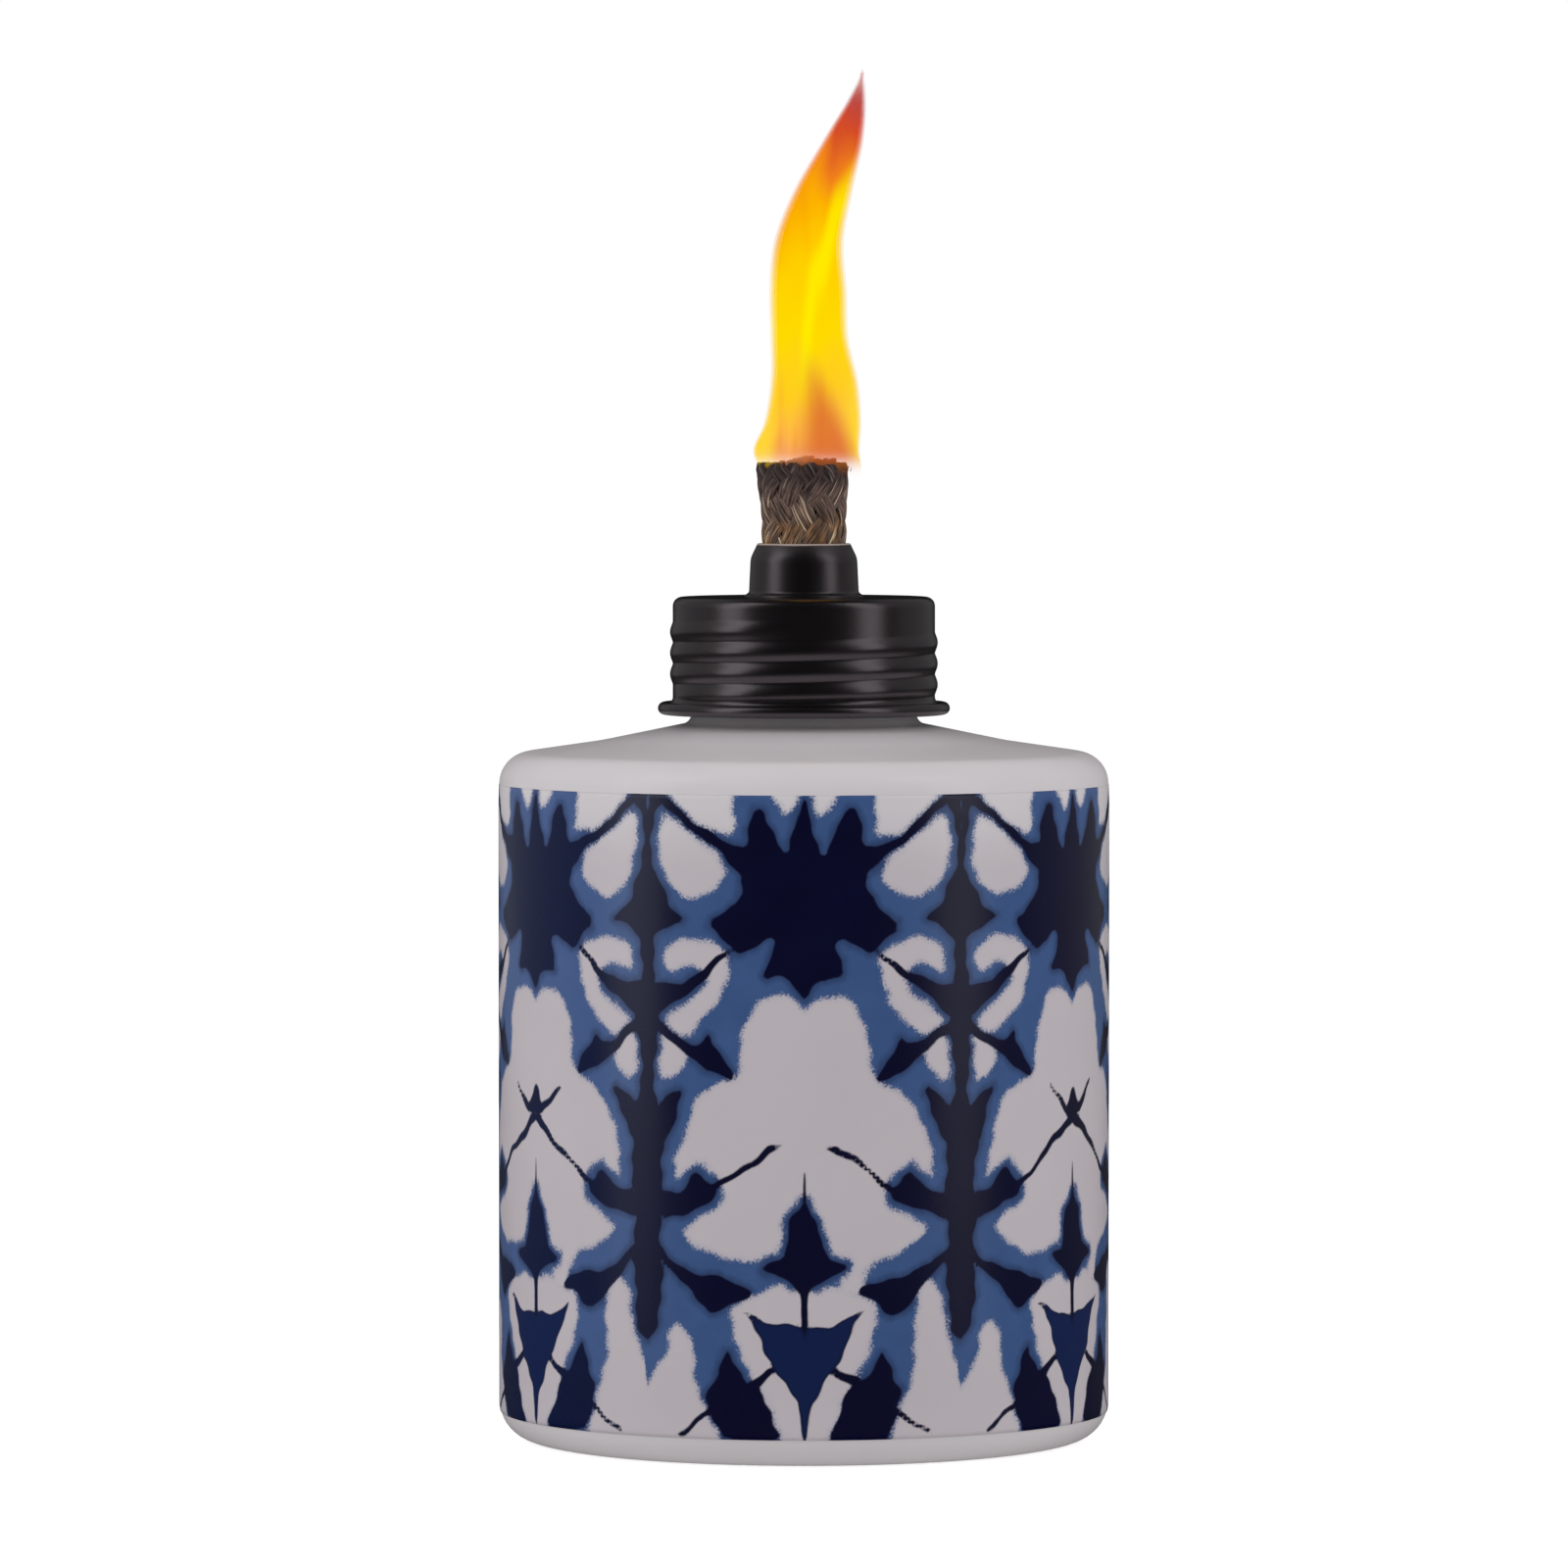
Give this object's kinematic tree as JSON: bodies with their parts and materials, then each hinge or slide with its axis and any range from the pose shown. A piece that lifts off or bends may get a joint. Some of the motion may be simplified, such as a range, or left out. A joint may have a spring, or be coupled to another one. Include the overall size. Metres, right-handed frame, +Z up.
{
  "type": "table torch",
  "caption": "Lit table-top torch: round printed glass fuel bottle, screw cap with a rolled thread, collar and braided wick, with its flame.",
  "frame": {"origin": "centre of the bottle's foot, on the surface it stands on", "axes": "+Z up along the bottle's axis, -Y towards the front, +X to the right seen from the front"},
  "size_m": [0.0922, 0.0922, 0.2068],
  "materials": {
    "coated_glass": "satin white coating on glass",
    "print_ink": "two-tone blue screen print",
    "black_paint": "satin black",
    "tube_steel": "plain",
    "liner_board": "foamed liner",
    "wick_braid": "braided glass fibre, scorched at the top",
    "wick_roving": "straight rovings",
    "flame_glow": "glowing gas"
  },
  "bodies": {
    "bottle": {"bottle": "coated_glass", "print_film": "print_ink"},
    "liner": {"cap_liner": "liner_board"},
    "cap": {"cap_shell": "black_paint", "wick_collar": "black_paint", "wick_tube": "tube_steel"},
    "wick": {"wick_jacket": "wick_braid", "wick_core": "wick_roving", "flame": "flame_glow"}
  },
  "joints": [
    {"name": "cap_lift", "type": "slide", "parent": "bottle", "child": "liner", "axis": [0, 0, 1], "range_m": [0, 0.00476]},
    {"name": "cap_turn", "type": "hinge", "parent": "liner", "child": "cap", "pos_m": [0, 0, 0.112], "axis": [0, 0, 1], "range_deg": [0, 540]},
    {"name": "wick_height", "type": "slide", "parent": "cap", "child": "wick", "axis": [0, 0, 1], "range_m": [-0.005, 0.012]}
  ],
  "couplings": [
    {"joint": "cap_lift", "follows": "cap_turn", "m_per_rad": 0.00050532}
  ]
}
